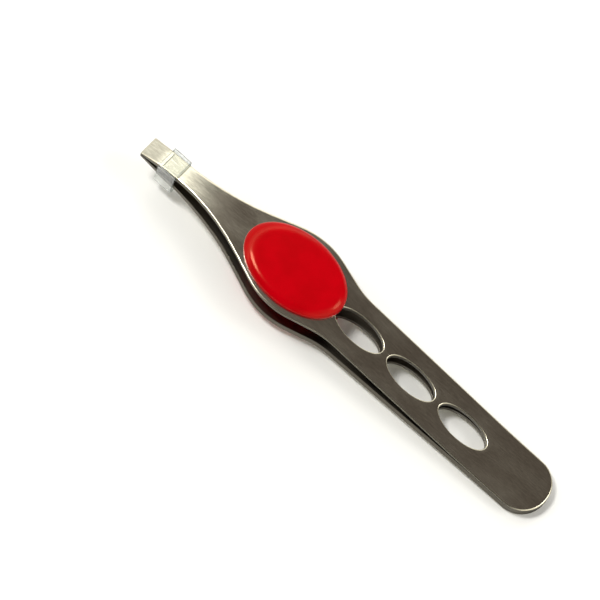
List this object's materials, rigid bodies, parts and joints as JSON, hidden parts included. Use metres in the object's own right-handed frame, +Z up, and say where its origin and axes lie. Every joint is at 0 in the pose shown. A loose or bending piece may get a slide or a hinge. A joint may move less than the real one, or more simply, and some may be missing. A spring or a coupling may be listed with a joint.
{
  "type": "tweezers",
  "caption": "Tweezers of pierced steel spring arms welded at a rounded butt, with square ground tips, red oval grip pads and a clear sleeve over the tips; squeezing the pads closes the tips",
  "frame": {"origin": "middle of the footprint on the surface that the tweezers lie on", "axes": "+X from the tips to the butt, +Z up from the surface, +Y across the arms; the mid plane rises toward the tips because the tweezers lie on the butt and the lower pad"},
  "size_m": [0.0956, 0.0162, 0.0105],
  "materials": {
    "steel": "brushed lengthwise, edges tumbled",
    "pad": "gloss, as moulded",
    "weld": "as welded",
    "sleeve": "clear, gloss"
  },
  "bodies": {
    "lower_half": {"lower_arm": "steel", "lower_pad": "pad", "spot_welds": "weld"},
    "upper_half": {"upper_arm": "steel", "upper_pad": "pad"},
    "sleeve": {"tip_sleeve": "sleeve"}
  },
  "joints": [
    {"name": "arm_spread", "type": "hinge", "parent": "lower_half", "child": "upper_half", "pos_m": [0.04772, 0, 0.00121], "axis": [0, 1, 0], "range_deg": [0, 5.5]},
    {"name": "sleeve_slide", "type": "slide", "parent": "lower_half", "child": "sleeve", "axis": [-0.9906, 0, 0.1366], "range_m": [0, 0.06]}
  ],
  "couplings": [
    {"joint": "sleeve_slide", "follows": "arm_spread", "m_per_rad": 0.625}
  ]
}
